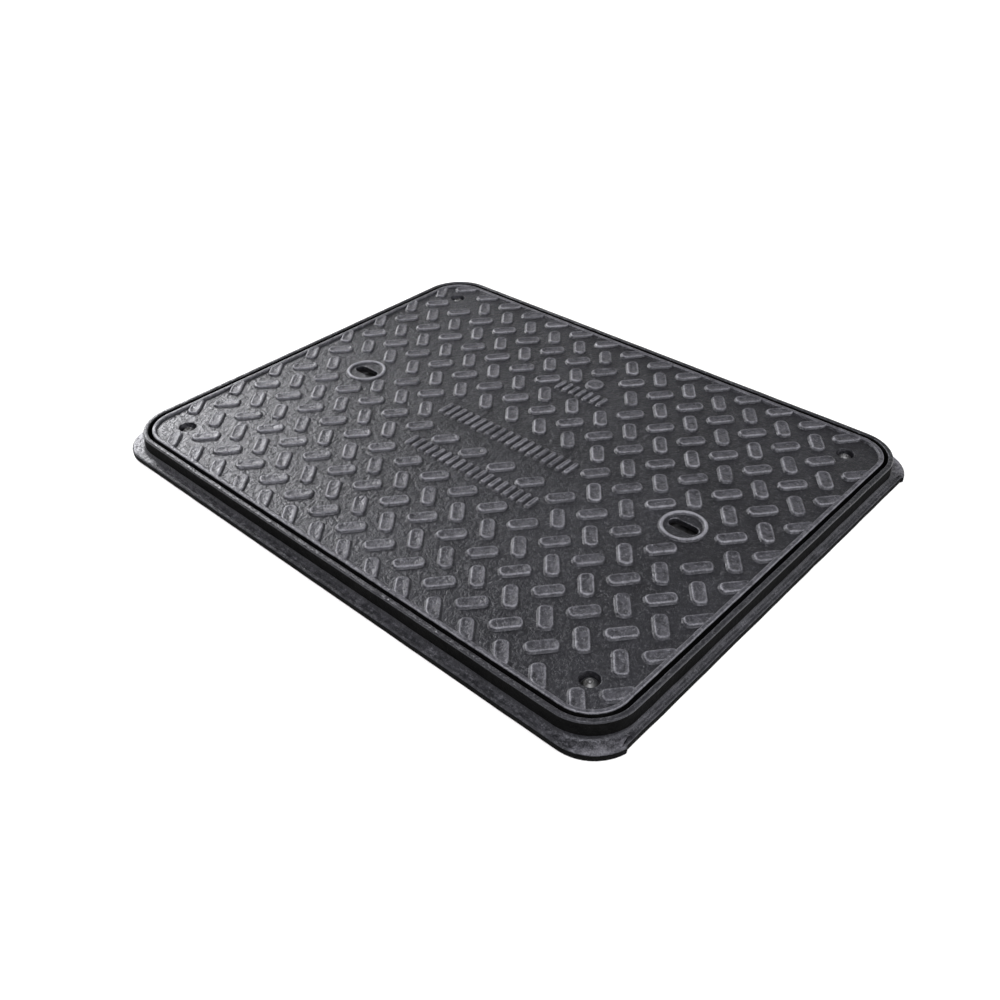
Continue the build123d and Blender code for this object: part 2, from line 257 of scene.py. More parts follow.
class Mould:
    """Gathers the points and faces of one piece, with how worn and how raised each point is."""

    def __init__(self, name: str, unevenness: float = 0.0, grain: float = 0.03) -> None:
        """Starts an empty piece.

        Args:
            name: The finished object's name.
            unevenness: How far the casting skin strays from its true shape.
            grain: The length over which it strays.
        """
        self.name = name
        self.unevenness = unevenness
        self.grain = grain
        self.points: list[Vector] = []
        self.wear: list[float] = []
        self.lift: list[float] = []
        self.faces: list[tuple[int, ...]] = []
        self.flat: set[int] = set()
        self.coats: dict[int, int] = {}
        self.coat = Coat.WEATHERED

    def ring(self, outline: Iterable[Point2], height: float, wear: float = 0.0,
             lift: float = 0.0) -> list[int]:
        """Adds a closed ring of points at one height.

        Args:
            outline: The ring's X and Y.
            height: Its Z.
            wear: How rubbed the skin is there, from 0 to 1.
            lift: How far it stands above the low ground, from 0 to 1; the coat paints raised points lighter, as
                painted light.

        Returns:
            The new points' numbers.
        """
        return self.scatter([Vector((x, y, height)) for x, y in outline], wear, lift)

    def scatter(self, places: Iterable[Vector], wear: float = 0.0, lift: float = 0.0) -> list[int]:
        """Adds points anywhere and returns their numbers."""
        first = len(self.points)
        for place in places:
            self.points.append(place)
            self.wear.append(wear)
            self.lift.append(lift)
        return list(range(first, len(self.points)))

    def face(self, corners: tuple[int, ...], flat: bool = False) -> None:
        """Adds one face in the current coat."""
        if flat:
            self.flat.add(len(self.faces))
        self.coats[len(self.faces)] = self.coat
        self.faces.append(corners)

    def bridge(self, first: Sequence[int], second: Sequence[int]) -> None:
        """Joins two closed rings of the same count with a band of quads."""
        count = len(first)
        for i in range(count):
            j = (i + 1) % count
            self.face((first[i], first[j], second[j], second[i]))

    def loft(self, rings: Sequence[Sequence[int]]) -> None:
        """Joins each ring to the next."""
        for first, second in zip(rings, rings[1:]):
            self.bridge(first, second)

    def plate(self, outer: Sequence[int], holes: Sequence[Sequence[int]] = ()) -> None:
        """Fills the flat ground between an outer ring and any holes in it."""
        loops = [list(outer)] + [list(hole) for hole in holes]
        numbers = [number for loop in loops for number in loop]
        for triangle in tessellate_polygon([[self.points[n].copy() for n in loop] for loop in loops]):
            self.face(tuple(numbers[i] for i in triangle), flat=True)

    def cap(self, ring: Sequence[int], height: float, wear: float = 0.0, lift: float = 0.0) -> None:
        """Closes a ring with a fan to a point above its middle."""
        middle = sum((self.points[n] for n in ring), Vector()) / len(ring)
        tip = self.scatter([Vector((middle.x, middle.y, height))], wear, lift)[0]
        for i, number in enumerate(ring):
            self.face((number, ring[(i + 1) % len(ring)], tip))

    def turned(self, centre: Point2, profile: Sequence[tuple[float, float]], count: int,
               wear: float = 0.0, lift: float = 0.0) -> list[list[int]]:
        """Adds the rings of a turned shape, without joining them.

        Args:
            centre: The axis's X and Y.
            profile: Radius and height of each ring.
            count: Points in each ring.
            wear: How rubbed the skin is.
            lift: How raised it is.

        Returns:
            The rings' point numbers.
        """
        return [self.ring(circle(centre, radius, count), height, wear, lift) for radius, height in profile]

    def stray(self, place: Vector) -> Vector:
        """How far the casting skin strays sideways at a place."""
        at = place / self.grain
        return Vector((noise.noise(at), noise.noise(at + Vector((31.7, 5.3, 11.1))), 0.0)) * self.unevenness

    def made(self, body: str, slot: str, replaced: Sequence[str],
             coats: Sequence[bpy.types.Material]) -> bpy.types.Object:
        """Makes the Blender object and puts it in the model's frame.

        Args:
            body: The CAD body it rides on.
            slot: A material slot name; not used.
            replaced: The CAD nodes it stands for.
            coats: Its materials, in the order of its coat numbers.

        Returns:
            The finished object.
        """
        mesh = bpy.data.meshes.new(self.name)
        skin = [p + self.stray(p) for p in self.points] if self.unevenness else self.points
        mesh.from_pydata([tuple(p) for p in skin], [], self.faces)
        for coat in coats:
            mesh.materials.append(coat)
        for number, polygon in enumerate(mesh.polygons):
            polygon.use_smooth = number not in self.flat
            polygon.material_index = self.coats[number]
        for name, values in (("wear", self.wear), ("lift", self.lift)):
            attribute = mesh.attributes.new(name, "FLOAT", "POINT")
            attribute.data.foreach_set("value", values)
        work = bmesh.new()
        work.from_mesh(mesh)
        bmesh.ops.recalc_face_normals(work, faces=work.faces)
        work.to_mesh(mesh)
        work.free()
        piece = bpy.data.objects.new(self.name, mesh)
        bpy.context.scene.collection.objects.link(piece)
        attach(piece, body)
        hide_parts(*replaced)
        LOG.info("%s: %d points, %d faces", self.name, len(mesh.vertices), len(mesh.polygons))
        return piece


# --------------------------------------------------------------------------------------------------
# Shaders
# --------------------------------------------------------------------------------------------------

Colour = tuple[float, float, float]


class Signal:
    """A number that a shader works out: sums written on it add Math nodes."""

    def __init__(self, graph: "Graph", socket: bpy.types.NodeSocket) -> None:
        """Wraps an output socket of a graph."""
        self.graph = graph
        self.socket = socket

    def worked(self, operation: str, first: "Signal | float", second: "Signal | float") -> "Signal":
        """Adds a Math node.

        Args:
            operation: Its operation.
            first: Its first value.
            second: Its second value.

        Returns:
            Its result.
        """
        return self.graph.signal("ShaderNodeMath", {"operation": operation}, {0: first, 1: second})

    def __add__(self, other: "Signal | float") -> "Signal":
        """self + other"""
        return self.worked("ADD", self, other)

    def __radd__(self, other: float) -> "Signal":
        """other + self"""
        return self.worked("ADD", other, self)

    def __sub__(self, other: "Signal | float") -> "Signal":
        """self - other"""
        return self.worked("SUBTRACT", self, other)

    def __rsub__(self, other: float) -> "Signal":
        """other - self"""
        return self.worked("SUBTRACT", other, self)

    def __mul__(self, other: "Signal | float") -> "Signal":
        """self * other"""
        return self.worked("MULTIPLY", self, other)

    def __rmul__(self, other: float) -> "Signal":
        """other * self"""
        return self.worked("MULTIPLY", other, self)

    def between(self, low: float, high: float) -> "Signal":
        """0 at low and 1 at high, held to that range."""
        return self.graph.signal("ShaderNodeMapRange", {"interpolation_type": "SMOOTHSTEP"},
                                 {"Value": self, "From Min": low, "From Max": high})


class Graph:
    """One material's nodes."""

    def __init__(self, name: str) -> None:
        """Starts a material with a Principled shader on its output."""
        self.material = bpy.data.materials.new(name)
        self.material.use_nodes = True
        self.tree = self.material.node_tree
        self.tree.nodes.clear()
        self.shader = self.node("ShaderNodeBsdfPrincipled", {}, {})
        self.node("ShaderNodeOutputMaterial", {}, {"Surface": self.shader.outputs[0]})

    def node(self, kind: str, settings: dict[str, object], inputs: dict[int | str, object]) -> bpy.types.Node:
        """Adds a node.

        Args:
            kind: The node's type.
            settings: Its settings, which are set first.
            inputs: A value, link or Signal for each socket, by name or number.

        Returns:
            The node.
        """
        made = self.tree.nodes.new(kind)
        for key, value in settings.items():
            setattr(made, key, value)
        for key, value in inputs.items():
            self.feed(made, key, value)
        return made

    def feed(self, made: bpy.types.Node, key: int | str, value: object) -> None:
        """Sets or links one socket of a node."""
        if isinstance(value, Signal):
            value = value.socket
        if isinstance(value, bpy.types.NodeSocket):
            self.tree.links.new(value, made.inputs[key])
        elif isinstance(value, tuple) and len(made.inputs[key].default_value) == len(value) + 1:
            made.inputs[key].default_value = (*value, 1.0)
        else:
            made.inputs[key].default_value = value

    def signal(self, kind: str, settings: dict[str, object], inputs: dict[int | str, object],
               output: int | str = 0) -> Signal:
        """Adds a node and returns one of its outputs as a Signal."""
        return Signal(self, self.node(kind, settings, inputs).outputs[output])

    def place(self) -> bpy.types.NodeSocket:
        """The place on the piece, in metres."""
        return self.node("ShaderNodeTexCoord", {}, {}).outputs["Object"]

    def cloudy(self, scale: float, detail: float, roughness: float = 0.5) -> Signal:
        """Soft noise, with this many blobs to the metre."""
        return self.signal("ShaderNodeTexNoise", {},
                           {"Vector": self.place(), "Scale": scale, "Detail": detail, "Roughness": roughness})

    def cells(self, scale: float) -> Signal:
        """Distance to the nearest of scattered points, with this many to the metre."""
        return self.signal("ShaderNodeTexVoronoi", {}, {"Vector": self.place(), "Scale": scale}, "Distance")

    def known(self, name: str) -> Signal:
        """A value that the mesh holds at its points."""
        return self.signal("ShaderNodeAttribute", {"attribute_name": name}, {}, "Fac")

    def blend(self, share: Signal | float, first: object, second: object) -> bpy.types.NodeSocket:
        """A colour between two others."""
        return self.node("ShaderNodeMix", {"data_type": "RGBA"}, {0: share, 6: first, 7: second}).outputs[2]

    def relief(self, height: Signal, depth: float, strength: float) -> bpy.types.NodeSocket:
        """A normal from a height.

        Args:
            height: The height, from 0 to 1.
            depth: How far that stands out.
            strength: How much of it shows.

        Returns:
            The bumped normal.
        """
        return self.node("ShaderNodeBump", {}, {"Height": height, "Distance": depth,
                                                "Strength": strength}).outputs["Normal"]

    def dress(self, **sockets: object) -> bpy.types.Material:
        """Feeds the Principled shader's sockets, with underscores for spaces, and returns the material."""
        for name, value in sockets.items():
            self.feed(self.shader, name.replace("_", " "), value)
        return self.material


class Exposure(Enum):
    """How much of the weather and the feet a coat of bitumen has met; the second kind is a darker, duller copy
    of the coat that paints shade.
    """

    TRODDEN = "trodden"
    SHADE_COPY = "sheltered"


@dataclass(frozen=True)
class BitumenIron:
    """Rough cast iron under a thin coat of black bitumen."""

    name: str
    exposure: Exposure
    darkest: Colour = (0.0050, 0.0050, 0.0060)
    dull: Colour = (0.014, 0.014, 0.017)
    # The tone that paints light on raised tops.
    top_light_tone: Colour = (0.058, 0.057, 0.067)
    bare: Colour = (0.190, 0.188, 0.210)
    sheen: Colour = (0.90, 0.90, 1.0)
    patches_per_metre: float = 9.0
    mottle_per_metre: float = 110.0
    lumps_per_metre: float = 200.0
    flecks_and_glints_per_metre: float = 360.0
    pits_per_metre: float = 420.0
    sand_per_metre: float = 700.0
    specular: float = 0.5
    sheen_roughness: float = 0.22
    roughness_spread: float = 0.14
    grain_depth: float = mm(1.15)

    def material(self) -> bpy.types.Material:
        """Builds the coat."""
        graph = Graph(self.name)
        patches = graph.cloudy(self.patches_per_metre, 3.0)
        mottle = graph.cloudy(self.mottle_per_metre, 4.0, 0.6)
        sand = graph.cloudy(self.sand_per_metre, 2.0, 0.6)
        lumps = graph.cloudy(self.lumps_per_metre, 3.0, 0.6)
        pits = graph.cells(self.pits_per_metre)
        flecks_and_glints = graph.cloudy(self.flecks_and_glints_per_metre, 3.0, 0.75).between(0.54, 0.72)
        wear = graph.known("wear")
        lift = graph.known("lift")
        grey = (patches * 0.9 + mottle * 0.9 + sand * 0.6 - 0.75).between(0.1, 0.9)
        if self.exposure is Exposure.TRODDEN:
            rubbed = (wear * 0.9 + mottle * 0.8 + sand * 0.9 - 1.15).between(0.0, 0.7)
            painted_top_light = (lift * 0.75 + mottle * 0.8 + lumps * 1.2 - 1.22).between(0.0, 0.85)
        # In the darker copy that paints shade: less rub, and only faintly lighter raised parts.
        else:
            rubbed = (wear + mottle - 1.1).between(0.0, 0.9)
            painted_top_light = lift * 0.1
        coat = graph.blend(grey, self.darkest, self.dull)
        # Raised tops are painted lighter than the low ground, blotched by noise: painted light on the tops,
        # painted shade between them.
        coat = graph.blend(painted_top_light, coat, self.top_light_tone)
        coat = graph.blend(rubbed, coat, self.bare)
        # Light flecks, more of them on raised tops: partly worn spots, partly painted glints.
        coat = graph.blend(flecks_and_glints * (lift * 0.45 + 0.12), coat, self.bare)
        rough = self.sheen_roughness + patches * self.roughness_spread + mottle * 0.12 - rubbed * 0.05
        skin = sand * 0.3 + lumps + mottle * 0.6 + flecks_and_glints * 0.22 - pits.between(0.35, 0.0) * 0.2
        return graph.dress(Base_Color=coat, Roughness=rough, Specular_IOR_Level=self.specular,
                           Specular_Tint=self.sheen,
                           Normal=graph.relief(skin, self.grain_depth, 1.0))


@dataclass(frozen=True)
class GasketRubber:
    """Moulded black rubber with a faint bloom."""

    name: str
    black: Colour = (0.012, 0.012, 0.012)
    bloom: Colour = (0.040, 0.040, 0.038)

    def material(self) -> bpy.types.Material:
        """Builds the rubber."""
        graph = Graph(self.name)
        cloud = graph.cloudy(40.0, 4.0)
        skin = graph.cloudy(1800.0, 2.0)
        return graph.dress(Base_Color=graph.blend(cloud.between(0.4, 0.8), self.black, self.bloom),
                           Roughness=0.62 + cloud * 0.2, Specular_IOR_Level=0.4,
                           Normal=graph.relief(skin, mm(0.05), 0.4))


@dataclass(frozen=True)
class PlainSteel:
    """Small steel pieces: stainless, zinc-plated or dipped black."""

    name: str
    bright: Colour
    stained: Colour
    metallic: float
    roughness: float
    polish: float = 1.5

    def material(self) -> bpy.types.Material:
        """Builds the steel."""
        graph = Graph(self.name)
        stain = graph.cloudy(160.0, 4.0, 0.6)
        scratch = graph.cloudy(1500.0, 3.0)
        wear = graph.known("wear")
        tone = graph.blend(stain.between(0.42, 0.72), self.bright, self.stained)
        polished = tuple(min(1.0, channel * self.polish) for channel in self.bright)
        tone = graph.blend((wear * scratch).between(0.35, 0.6), tone, polished)
        return graph.dress(Base_Color=tone, Metallic=self.metallic, Roughness=self.roughness + stain * 0.22,
                           Normal=graph.relief(scratch + stain, mm(0.04), 0.5))


# --------------------------------------------------------------------------------------------------
# Frame
# --------------------------------------------------------------------------------------------------

COVER_LOW, COVER_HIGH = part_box("cover_casting")
FRAME_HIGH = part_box("frame_casting")[1]
CORNERS = {"front_left": (-1, -1), "front_right": (1, -1), "back_right": (1, 1), "back_left": (-1, 1)}
STEPPED_SHARES = (0.0, 0.05, 0.09, 0.112, 0.130, 0.16, 0.24, 0.32, 0.41, 0.5, 0.59, 0.68, 0.76, 0.84,
                  0.870, 0.888, 0.91, 0.95, 1.0)


@cache
def middle_of(node: str) -> Point2:
    """The middle of a CAD node, seen from above."""
    low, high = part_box(node)
    return ((low.x + high.x) / 2, (low.y + high.y) / 2)


@cache
def levels_of(node: str) -> Point2:
    """The lowest and the highest Z of a CAD node."""
    low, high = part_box(node)
    return low.z, high.z


@dataclass
class Site:
    """Sizes that several castings share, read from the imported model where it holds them."""

    corner_radius: float = mm(38.0)
    half_x: float = COVER_HIGH.x
    half_y: float = COVER_HIGH.y
    top: float = FRAME_HIGH.z

    def outline(self, outwards: float) -> Rounded:
        """The cover's edge, moved outwards."""
        return Rounded(self.half_x, self.half_y, self.corner_radius, STEPPED_SHARES).grown(outwards)

    def trace(self, mould: Mould, run: Iterable[tuple[float, ...]]) -> list[list[int]]:
        """Adds rings that follow the cover's edge, without joining them.

        Args:
            mould: The piece being made.
            run: How far outside the edge each ring lies, its height and, where it isn't 0, its wear and lift.

        Returns:
            The rings' point numbers.
        """
        return [mould.ring(self.outline(outwards).points(), *rest) for outwards, *rest in run]

    def lock_place(self, corner: str) -> Point2:
        """Where a corner's locking screw stands."""
        return middle_of(f"lock_screw_{corner}")

    def keyway_place(self, side: str) -> Point2:
        """Where a keyway's cup stands."""
        return middle_of(f"keyway_cup_{side}")


@dataclass
class FrameCasting:
    """The frame: a bedding flange with ears, an upstand with a rim, and a grooved seat with four lugs."""

    site: Site
    weathered: bpy.types.Material
    # The darker, duller copy of the coat that paints shade on the frame's sides and seat.
    darkest: bpy.types.Material
    gap: float = mm(4.0)
    rim_width: float = mm(5.5)
    flange_ends: float = mm(7.5)
    flange_sides: float = mm(10.5)
    flange_thickness: float = mm(7.0)
    foot_radius: float = mm(4.0)
    ear_projection: float = mm(3.0)
    ear_reach: float = mm(36.0)
    ear_run: float = mm(3.0)
    ear_top_zone: float = mm(14.0)
    ear_radius: float = mm(44.0)
    seat_height: float = mm(9.0)
    groove_floor: float = mm(7.0)
    groove_outer: float = mm(-3.7)
    groove_inner: float = mm(-14.3)
    bearing_ends: float = mm(20.0)
    bearing_sides: float = mm(25.0)
    lug_wall: float = mm(10.5)
    lug_top: float = mm(11.0)
    lug_radius: float = mm(9.7)
    bolt_hole: float = mm(4.5)
    nut_pocket: float = mm(13.3)
    nut_roof: float = mm(5.0)
    unevenness: float = mm(0.35)
    ear_lightening: float = 2.6
    foot_steps: int = 5
    hole_sides: int = 36
    edge_profile: tuple[tuple[float, float], ...] = ((0.0, 0.7), (0.0, 4.9), (0.3, 5.9))
    # Shoulder rows hold inset, height, wear and lift; lift paints the flange top lighter, as painted light.
    shoulder_profile: tuple[tuple[float, ...], ...] = (
        (1.0, 6.6, 0.1, 0.2), (2.2, 6.95, 0.25, 0.4), (3.4, 7.0, 0.25, 0.5))
    rim_profile: tuple[tuple[float, ...], ...] = (
        (-0.25, 0.95, 0.0), (-0.7, 0.35, 0.05), (-1.4, 0.05, 0.1), (-2.75, 0.0, 0.1), (-4.1, 0.05, 0.2),
        (-4.8, 0.35, 0.3), (-5.25, 0.95, 0.0))

    def eared(self, inset: float) -> list[Point2]:
        """The flange's edge: its two ends are set back between the corner ears.

        Args:
            inset: How far inside the true edge.

        Returns:
            The edge's points.
        """
        wall = self.gap + self.rim_width - self.unevenness
        end = self.site.half_x + wall + self.flange_ends
        side = self.site.half_y + wall + self.flange_sides
        ears = Rounded(end + self.ear_projection, side, self.ear_radius, STEPPED_SHARES)
        ear_start = side - self.ear_reach
        walk = []
        for x, y in ears.grown(-inset).points():
            share = max(0.0, min(1.0, (abs(y) - ear_start) / self.ear_run))
            furthest = end + self.ear_projection * share * share * (3 - 2 * share) - inset
            walk.append((max(-furthest, min(furthest, x)), y))
        return walk

    def on_ear(self, point: Vector) -> bool:
        """True on the open top of a corner ear."""
        return (abs(point.x) > self.site.half_x - self.ear_top_zone
                and abs(point.y) > self.site.half_y - self.ear_top_zone)

    def opening(self, outwards: float) -> list[Point2]:
        """The clear opening's edge, stepped round the four lugs.

        Args:
            outwards: How far outside the true edge.

        Returns:
            The edge's points.
        """
        clear_x = self.site.half_x - self.bearing_ends + outwards
        clear_y = self.site.half_y - self.bearing_sides + outwards
        reach = self.lug_wall - outwards
        walk: list[Point2] = []
        for quadrant, corner in enumerate(("back_right", "back_left", "front_left", "front_right")):
            x, y = self.site.lock_place(corner)
            sign_x, sign_y = CORNERS[corner]
            beside = (sign_x * clear_x, y - sign_y * reach)
            beyond = (x - sign_x * reach, sign_y * clear_y)
            turns = [math.radians(10.0 * step) for step in range(10)]
            arc = [(x - sign_x * reach * math.sin(turn), y - sign_y * reach * math.cos(turn))
                   for turn in turns]
            stretch = [beside, *arc, beyond]
            walk += stretch if quadrant % 2 == 0 else stretch[::-1]
        return walk

    def outside(self, mould: Mould) -> tuple[list[int], list[int]]:
        """Adds the flange, the upstand, the rim and the groove.

        Args:
            mould: The piece being made.

        Returns:
            The base's outer ring and the seat's outer ring.
        """
        wall = self.gap + self.rim_width
        top = self.site.top
        base = mould.ring(self.eared(mm(0.5)), 0.0)
        edge = [base, *(mould.ring(self.eared(mm(inset)), mm(height)) for inset, height in self.edge_profile)]
        # The flange's outer side takes the darker copy: painted shade.
        mould.coat = Coat.SHADE_COPY
        mould.loft(edge)
        mould.coat = Coat.WEATHERED
        flange = [edge[-1]]
        for inset, height, wear, lift in self.shoulder_profile:
            flange.append(mould.ring(self.eared(mm(inset)), mm(height), wear, lift))
            # Ear tops are painted lighter: full lift, as painted light on a raised top, and their wear value
            # raised further, which lightens them more.
            for number in flange[-1]:
                if self.on_ear(mould.points[number]):
                    mould.lift[number] = 1.0
                    mould.wear[number] = wear * self.ear_lightening
        # The foot's lift fades from half to none up the fillet, so its painted light fades too.
        for step in range(self.foot_steps + 1):
            share = step / self.foot_steps
            outwards = wall + self.foot_radius * (1 - math.sin(math.pi / 2 * share))
            height = self.flange_thickness + self.foot_radius * (1 - math.cos(math.pi / 2 * share))
            flange += self.site.trace(mould, [(outwards, height, 0.45 - 0.4 * share, 0.5 - 0.5 * share)])
        mould.loft(flange)
        # The upstand under the rim takes the darker copy: painted shade under the rim.
        mould.coat = Coat.SHADE_COPY
        upstand = [flange[-1], *self.site.trace(mould, [(wall - mm(0.05), top - mm(9.0)),
                                                        (wall - mm(0.1), top - mm(1.9), 0.1)])]
        mould.loft(upstand)
        mould.coat = Coat.WEATHERED
        # The rim's wear also serves as its lift, so its top is painted lighter: painted light.
        rim = [upstand[-1], *self.site.trace(mould, ((wall + mm(outwards), top - mm(below), wear, wear)
                                                     for outwards, below, wear in self.rim_profile))]
        mould.loft(rim)
        # The inner face and the groove take the darker copy: painted shade in the gap.
        mould.coat = Coat.SHADE_COPY
        face, seat_top, soften = self.gap, self.seat_height, mm(0.4)
        outer, inner = self.groove_outer, self.groove_inner
        seat = [rim[-1], *self.site.trace(mould, [
            (face, top - mm(2.0)), (face, seat_top + mm(1.6)), (face - mm(0.5), seat_top + mm(0.5)),
            (face - mm(1.6), seat_top), (outer + soften, seat_top), (outer, seat_top - soften),
            (outer, self.groove_floor), (inner, self.groove_floor), (inner, seat_top - soften),
            (inner - soften, seat_top)])]
        mould.loft(seat)
        return base, seat[-1]

    def lug(self, mould: Mould, corner: str) -> tuple[list[int], list[int]]:
        """Adds one lug, its bolt hole and its nut pocket.

        Args:
            mould: The piece being made.
            corner: Which corner.

        Returns:
            The lug's foot ring on the seat and the pocket's mouth ring on the base.
        """
        place = self.site.lock_place(corner)
        rise = self.lug_top - self.seat_height
        boss = mould.turned(place, [
            (self.lug_radius, self.seat_height), (self.lug_radius - mm(0.3), self.seat_height + rise * 0.35),
            (self.lug_radius - mm(0.5), self.lug_top - mm(0.5)), (self.lug_radius - mm(1.0), self.lug_top),
            (self.bolt_hole + mm(0.5), self.lug_top), (self.bolt_hole, self.lug_top - mm(0.5)),
            (self.bolt_hole, self.nut_roof)], self.hole_sides)
        pocket = [mould.ring(hexagon(place, self.nut_pocket, self.hole_sides), height)
                  for height in (self.nut_roof, 0.0)]
        mould.loft([*boss, *pocket])
        return boss[0], pocket[-1]

    def build(self) -> bpy.types.Object:
        """Builds the whole frame."""
        mould = Mould("frame_with_rim", unevenness=self.unevenness, grain=mm(22.0))
        base, seat_edge = self.outside(mould)
        lugs = [self.lug(mould, corner) for corner in CORNERS]
        soften = mm(0.7)
        mouth = [mould.ring(self.opening(outwards), height) for outwards, height in
                 ((soften, self.seat_height), (0.0, self.seat_height - soften), (0.0, soften), (soften, 0.0))]
        mould.loft(mouth)
        mould.plate(seat_edge, [mouth[0], *(foot for foot, _ in lugs)])
        mould.plate(base, [mouth[-1], *(pocket for _, pocket in lugs)])
        return mould.made("frame", "bitumen_iron_frame", ["frame_casting"], [self.weathered, self.darkest])


@dataclass
class SeatGasket:
    """The rubber loop in the frame's groove, with two soft lips along its top."""

    site: Site
    rubber: bpy.types.Material
    lip_run: tuple[tuple[float, float], ...] = (
        (-4.1, 0.0), (-4.05, 2.4), (-4.5, 3.4), (-5.5, 3.9), (-6.6, 4.0), (-7.6, 3.6), (-8.4, 3.1), (-9.0, 3.0),
        (-9.6, 3.1), (-10.4, 3.6), (-11.4, 4.0), (-12.5, 3.9), (-13.5, 3.4), (-13.95, 2.4), (-13.9, 0.0))

    def build(self) -> bpy.types.Object:
        """Builds the loop."""
        floor = levels_of("seat_gasket")[0]
        mould = Mould("seat_gasket_loop")
        rings = self.site.trace(mould, ((mm(out), floor + mm(height)) for out, height in self.lip_run))
        mould.loft([*rings, rings[0]])
        return mould.made("frame", "gasket_rubber", ["seat_gasket"], [self.rubber])


# --------------------------------------------------------------------------------------------------
# Cover
# --------------------------------------------------------------------------------------------------


@dataclass(frozen=True)
class Disc:
    """A round place in the tread that pads stop short of."""

    centre: Point2
    radius: float


@dataclass
class CoverCasting:
    """The cover: a treaded plate with a raised lip, on a skirt, with ribs and screw bosses below."""

    site: Site
    coat: bpy.types.Material
    # The darker, duller copy of the coat that paints shade on the cover's side.
    sheltered: bpy.types.Material
    tread_height: float = mm(2.5)
    plate_thickness: float = mm(6.0)
    skirt_width: float = mm(16.0)
    border_width: float = mm(4.5)
    pad_length: float = mm(29.0)
    pad_width: float = mm(13.0)
    pad_radius: float = mm(5.0)
    pad_slant: float = math.radians(50.0)
    pad_pitch: float = mm(40.0)
    row_pitch: float = mm(28.0)
    row_stagger: float = mm(10.0)
    pad_margin: float = mm(3.5)
    pad_dish: float = mm(0.55)
    dish_inset: float = mm(3.3)
    shortest_pad: float = mm(17.0)
    grazing: float = mm(1.0)
    panels: tuple[tuple[float, float, float, float], ...] = (
        (-4.0, 3.0, 192.0, 22.0), (9.0, -67.0, 184.0, 18.0), (0.0, 126.0, 70.0, 17.0))
    panel_margin: float = mm(9.0)
    bar_width: float = mm(5.0)
    bar_pitch: float = mm(10.0)
    disc_centre: Point2 = (0.0, mm(151.0))
    disc_radius: float = mm(10.0)
    slot_length: float = mm(32.0)
    slot_width: float = mm(13.0)
    ring_radius: float = mm(23.0)
    ring_width: float = mm(3.5)
    recess_radius: float = mm(9.0)
    recess_depth: float = mm(8.5)
    shank_hole: float = mm(4.5)
    boss_radius: float = mm(13.0)
    boss_gap: float = mm(0.5)
    rib_offset: float = mm(70.0)
    rib_depth: float = mm(10.0)
    rib_end_clearance: float = mm(4.0)
    rib_slope: float = 1.6
    rib_root: tuple[tuple[float, float], ...] = ((3.7, 0.3), (3.2, -0.3), (2.7, -1.4))
    rib_foot: tuple[tuple[float, float], ...] = ((2.3, 1.0), (1.7, 0.3), (0.0, 0.0))
    beside_keyway: float = mm(33.0)
    inner_rib_count: int = 7
    pad_profile: tuple[tuple[float, float, float, float], ...] = (
        (-1.9, -0.6, 0.0, 0.0), (-1.6, 0.02, 0.0, 0.0), (-0.8, 0.22, 0.05, 0.1), (-0.2, 0.85, 0.3, 0.4),
        (0.2, 1.65, 0.8, 0.85), (0.9, 2.3, 1.0, 1.0), (1.9, 2.45, 0.6, 1.0))
    lip_profile: tuple[tuple[float, float, float, float], ...] = (
        (-6.0, 0.0, 0.0, 0.0), (-5.3, 0.15, 0.0, 0.1), (-4.9, 0.7, 0.2, 0.4), (-4.6, 1.7, 0.4, 0.8),
        (-4.1, 2.25, 0.6, 1.0), (-3.2, 2.45, 0.3, 1.0), (-1.5, 2.45, 0.3, 1.0), (-0.7, 2.25, 0.9, 1.0),
        (-0.25, 1.7, 0.8, 0.9), (-0.1, 0.7, 0.2, 0.4))
    burial: float = mm(0.6)
    slot_points: int = 36
    recess_sides: int = 40
    ring_sides: int = 64

    @property
    def sheet_top(self) -> float:
        """The tread's low ground."""
        return COVER_HIGH.z - self.tread_height

    @property
    def sheet_bottom(self) -> float:
        """The plate's underside."""
        return self.sheet_top - self.plate_thickness

    def shell(self, mould: Mould) -> tuple[list[int], list[int]]:
        """Adds the raised lip, the edge and the skirt.

        Args:
            mould: The piece being made.

        Returns:
            The top sheet's outer ring and the underside's.
        """
        foot, skirt = self.sheet_top, COVER_LOW.z
        deep = self.sheet_bottom
        inner = -self.skirt_width
        lip = self.site.trace(mould, ((mm(outwards), foot + mm(rise), wear, lift)
                                      for outwards, rise, wear, lift in self.lip_profile))
        side = self.site.trace(mould, [(mm(-0.15), skirt + mm(5.0)), (mm(-0.2), skirt + mm(1.5)),
                                       (mm(-0.6), skirt + mm(0.4), 0.3)])
        under = self.site.trace(mould, [
            (mm(-1.5), skirt, 0.3), (inner + mm(1.4), skirt, 0.3), (inner + mm(0.5), skirt + mm(0.3), 0.3),
            (inner, skirt + mm(1.2)), (inner - mm(0.5), deep - mm(1.0)), (inner - mm(1.3), deep - mm(0.3)),
            (inner - mm(2.4), deep)])
        mould.loft(lip)
        # The cover's side takes the darker copy: painted shade in the gap beside the frame.
        mould.coat = Coat.SHADE_COPY
        mould.loft([lip[-1], *side])
        mould.coat = Coat.WEATHERED
        mould.loft([side[-1], *under])
        return lip[0], under[-1]

    def keyway(self, mould: Mould, centre: Point2) -> tuple[list[int], list[int]]:
        """Adds one keyway slot through the plate.

        Args:
            mould: The piece being made.
            centre: The slot's middle.

        Returns:
            Its mouth rings on top and below.
        """
        top, bottom = self.sheet_top, self.sheet_bottom
        rings = []
        for out, height, wear in ((0.9, top, 0.3), (0.3, top - mm(0.25), 0.7), (0.0, top - mm(0.9), 0.2),
                                  (0.0, bottom + mm(0.6), 0.0), (0.5, bottom, 0.0)):
            length, width = self.slot_length + mm(2 * out), self.slot_width + mm(2 * out)
            rings.append(mould.ring(slotted(centre, length, width, self.slot_points), height, wear))
        mould.loft(rings)
        return rings[0], rings[-1]

